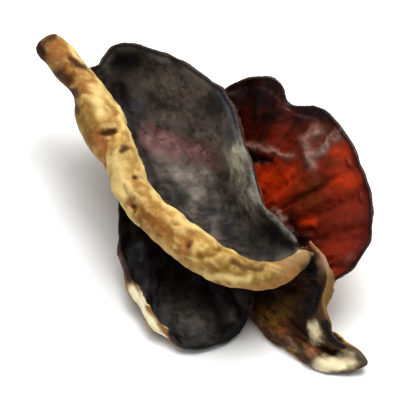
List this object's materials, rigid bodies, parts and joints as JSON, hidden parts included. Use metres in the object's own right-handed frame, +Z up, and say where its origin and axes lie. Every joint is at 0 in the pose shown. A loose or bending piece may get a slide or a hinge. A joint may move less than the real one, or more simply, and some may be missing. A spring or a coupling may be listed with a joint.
{
  "type": "dried wood ear mushroom",
  "caption": "Dried wood ear: a boat-shaped cup with an inrolled tan margin, a thin translucent ear, a rounded front lobe and a curled tail, grown from one knot cut off flat.",
  "frame": {"origin": "middle of the flat cut under the knot, on the table that the ear rests on", "axes": "+Z up, away from the cut; +X towards the thin ear; +Y towards the cup's far margin, away from the front lobe"},
  "size_m": [0.0441, 0.0471, 0.0188],
  "materials": {
    "dried_flesh": "leathery, satin on the dark upper side and velvety on the tan underside"
  },
  "bodies": {
    "root": {"wood_ear": "dried_flesh"}
  },
  "joints": []
}
